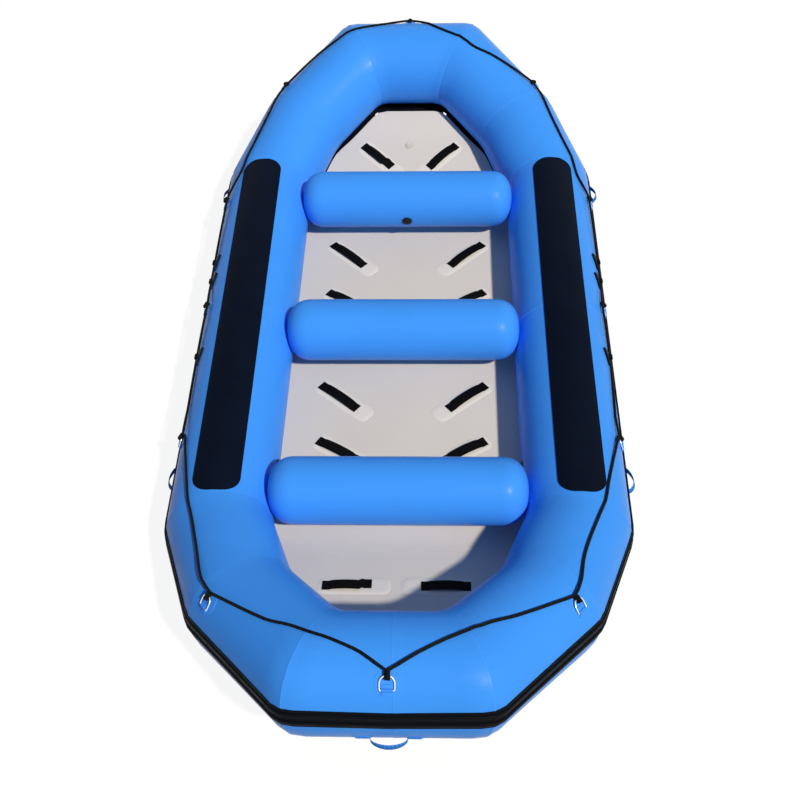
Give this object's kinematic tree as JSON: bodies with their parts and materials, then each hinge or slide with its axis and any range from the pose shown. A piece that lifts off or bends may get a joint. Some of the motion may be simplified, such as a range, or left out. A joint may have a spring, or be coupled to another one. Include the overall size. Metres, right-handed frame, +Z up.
{
  "type": "inflatable river raft",
  "caption": "Self-bailing inflatable river raft: tube ring with raised bow and stern, cross thwarts, laced floor, foot straps, D-rings and a grab line.",
  "frame": {"origin": "on the ground under the middle of the boat", "axes": "+Y from stern to bow, +X to the right, +Z up; the picture looks from the stern towards the bow"},
  "size_m": [2.0896, 4.4086, 0.7207],
  "materials": {
    "blue_coated_fabric": "smooth PVC-coated fabric, satin",
    "grey_coated_fabric": "PVC-coated fabric, matt",
    "black_textured_fabric": "anti-slip coated fabric, matt",
    "black_rubber": "moulded rubber, satin",
    "black_rope": "braided polypropylene",
    "black_webbing": "woven webbing",
    "blue_webbing": "woven webbing",
    "stainless_steel": "polished welded wire",
    "black_plastic": "moulded"
  },
  "bodies": {
    "hull": {"chamber_bow_left": "blue_coated_fabric", "chamber_bow_right": "blue_coated_fabric", "chamber_stern_left": "blue_coated_fabric", "chamber_stern_right": "blue_coated_fabric", "floor_panel": "grey_coated_fabric", "foot_strap_left_bow": "black_webbing", "foot_strap_left_front_a": "black_webbing", "foot_strap_left_front_b": "black_webbing", "foot_strap_left_rear_a": "black_webbing", "foot_strap_left_rear_b": "black_webbing", "foot_strap_left_stern": "black_webbing", "foot_strap_right_bow": "black_webbing", "foot_strap_right_front_a": "black_webbing", "foot_strap_right_front_b": "black_webbing", "foot_strap_right_rear_a": "black_webbing", "foot_strap_right_rear_b": "black_webbing", "foot_strap_right_stern": "black_webbing", "grab_line": "black_rope", "handle_bow": "blue_webbing", "handle_left_front": "blue_webbing", "handle_left_rear": "blue_webbing", "handle_right_front": "blue_webbing", "handle_right_rear": "blue_webbing", "handle_stern": "blue_webbing", "lace_strip": "black_rubber", "line_guide_left_front": "black_rubber", "line_guide_left_middle": "black_rubber", "line_guide_left_rear": "black_rubber", "line_guide_right_front": "black_rubber", "line_guide_right_middle": "black_rubber", "line_guide_right_rear": "black_rubber", "rubbing_strake": "black_rubber", "thwart_front": "blue_coated_fabric", "thwart_middle": "blue_coated_fabric", "thwart_rear": "blue_coated_fabric", "wear_patch_left": "black_textured_fabric", "wear_patch_right": "black_textured_fabric"},
    "d_ring_right_front": {"d_ring_right_front": "stainless_steel"},
    "d_ring_right_middle": {"d_ring_right_middle": "stainless_steel"},
    "d_ring_right_rear": {"d_ring_right_rear": "stainless_steel"},
    "d_ring_right_bow_corner": {"d_ring_right_bow_corner": "stainless_steel"},
    "d_ring_right_stern_corner": {"d_ring_right_stern_corner": "stainless_steel"},
    "d_ring_left_front": {"d_ring_left_front": "stainless_steel"},
    "d_ring_left_middle": {"d_ring_left_middle": "stainless_steel"},
    "d_ring_left_rear": {"d_ring_left_rear": "stainless_steel"},
    "d_ring_left_bow_corner": {"d_ring_left_bow_corner": "stainless_steel"},
    "d_ring_left_stern_corner": {"d_ring_left_stern_corner": "stainless_steel"},
    "d_ring_bow": {"d_ring_bow": "stainless_steel"},
    "d_ring_stern": {"d_ring_stern": "stainless_steel"},
    "valve_cap_bow_right": {"valve_cap_bow_right": "black_plastic"},
    "valve_cap_bow_left": {"valve_cap_bow_left": "black_plastic"},
    "valve_cap_stern_right": {"valve_cap_stern_right": "black_plastic"},
    "valve_cap_stern_left": {"valve_cap_stern_left": "black_plastic"},
    "valve_cap_thwart_front": {"valve_cap_thwart_front": "black_plastic"},
    "valve_cap_thwart_middle": {"valve_cap_thwart_middle": "black_plastic"},
    "valve_cap_thwart_rear": {"valve_cap_thwart_rear": "black_plastic"},
    "valve_cap_floor": {"valve_cap_floor": "black_plastic"}
  },
  "joints": [
    {"name": "d_ring_right_front_hinge", "type": "hinge", "parent": "hull", "child": "d_ring_right_front", "pos_m": [0.98406, 0.88473, 0.30047], "axis": [0.0007, 1, -0.0021], "range_deg": [0, 6]},
    {"name": "d_ring_right_middle_hinge", "type": "hinge", "parent": "hull", "child": "d_ring_right_middle", "pos_m": [0.98347, 0.08388, 0.30217], "axis": [0.0007, 1, -0.0021], "range_deg": [0, 6]},
    {"name": "d_ring_right_rear_hinge", "type": "hinge", "parent": "hull", "child": "d_ring_right_rear", "pos_m": [0.98396, -0.74455, 0.30076], "axis": [-0.0007, 1, 0.0021], "range_deg": [0, 6]},
    {"name": "d_ring_right_bow_corner_hinge", "type": "hinge", "parent": "hull", "child": "d_ring_right_bow_corner", "pos_m": [0.71464, 1.7025, 0.50588], "axis": [-0.5773, 0.7717, 0.2668], "range_deg": [0, 6]},
    {"name": "d_ring_right_stern_corner_hinge", "type": "hinge", "parent": "hull", "child": "d_ring_right_stern_corner", "pos_m": [0.71464, -1.7025, 0.50588], "axis": [0.5773, 0.7717, -0.2668], "range_deg": [0, 6]},
    {"name": "d_ring_left_front_hinge", "type": "hinge", "parent": "hull", "child": "d_ring_left_front", "pos_m": [-0.98406, 0.88473, 0.30047], "axis": [0.0007, -1, 0.0021], "range_deg": [0, 6]},
    {"name": "d_ring_left_middle_hinge", "type": "hinge", "parent": "hull", "child": "d_ring_left_middle", "pos_m": [-0.98347, 0.08388, 0.30217], "axis": [0.0007, -1, 0.0021], "range_deg": [0, 6]},
    {"name": "d_ring_left_rear_hinge", "type": "hinge", "parent": "hull", "child": "d_ring_left_rear", "pos_m": [-0.98396, -0.74455, 0.30076], "axis": [-0.0007, -1, -0.0021], "range_deg": [0, 6]},
    {"name": "d_ring_left_bow_corner_hinge", "type": "hinge", "parent": "hull", "child": "d_ring_left_bow_corner", "pos_m": [-0.71464, 1.7025, 0.50588], "axis": [-0.5773, -0.7717, -0.2668], "range_deg": [0, 6]},
    {"name": "d_ring_left_stern_corner_hinge", "type": "hinge", "parent": "hull", "child": "d_ring_left_stern_corner", "pos_m": [-0.71464, -1.7025, 0.50588], "axis": [0.5773, -0.7717, 0.2668], "range_deg": [0, 6]},
    {"name": "d_ring_bow_hinge", "type": "hinge", "parent": "hull", "child": "d_ring_bow", "pos_m": [0, 2.11004, 0.65419], "axis": [-1, 0, 0], "range_deg": [0, 6]},
    {"name": "d_ring_stern_hinge", "type": "hinge", "parent": "hull", "child": "d_ring_stern", "pos_m": [0, -2.11004, 0.65419], "axis": [1, 0, 0], "range_deg": [0, 6]},
    {"name": "valve_cap_bow_right_turn", "type": "hinge", "parent": "hull", "child": "valve_cap_bow_right", "pos_m": [0.53198, 1.05733, 0.24858], "axis": [-0.9934, -0.0904, 0.0703], "range_deg": [0, 90]},
    {"name": "valve_cap_bow_left_turn", "type": "hinge", "parent": "hull", "child": "valve_cap_bow_left", "pos_m": [-0.53198, 1.05733, 0.24858], "axis": [0.9934, -0.0904, 0.0703], "range_deg": [0, 90]},
    {"name": "valve_cap_stern_right_turn", "type": "hinge", "parent": "hull", "child": "valve_cap_stern_right", "pos_m": [0.54069, -0.82153, 0.24262], "axis": [-0.9969, 0, 0.0783], "range_deg": [0, 90]},
    {"name": "valve_cap_stern_left_turn", "type": "hinge", "parent": "hull", "child": "valve_cap_stern_left", "pos_m": [-0.54069, -0.82153, 0.24262], "axis": [0.9969, 0, 0.0783], "range_deg": [0, 90]},
    {"name": "valve_cap_thwart_front_turn", "type": "hinge", "parent": "hull", "child": "valve_cap_thwart_front", "pos_m": [0, 0.78139, 0.28958], "axis": [0, -0.9781, -0.2079], "range_deg": [0, 90]},
    {"name": "valve_cap_thwart_middle_turn", "type": "hinge", "parent": "hull", "child": "valve_cap_thwart_middle", "pos_m": [0, 0.09036, 0.28958], "axis": [0, 0.9781, -0.2079], "range_deg": [0, 90]},
    {"name": "valve_cap_thwart_rear_turn", "type": "hinge", "parent": "hull", "child": "valve_cap_thwart_rear", "pos_m": [0, -0.86998, 0.28958], "axis": [0, 0.9781, -0.2079], "range_deg": [0, 90]},
    {"name": "valve_cap_floor_turn", "type": "hinge", "parent": "hull", "child": "valve_cap_floor", "pos_m": [0, 1.53392, 0.21428], "axis": [0, -0.2658, 0.964], "range_deg": [0, 90]}
  ]
}
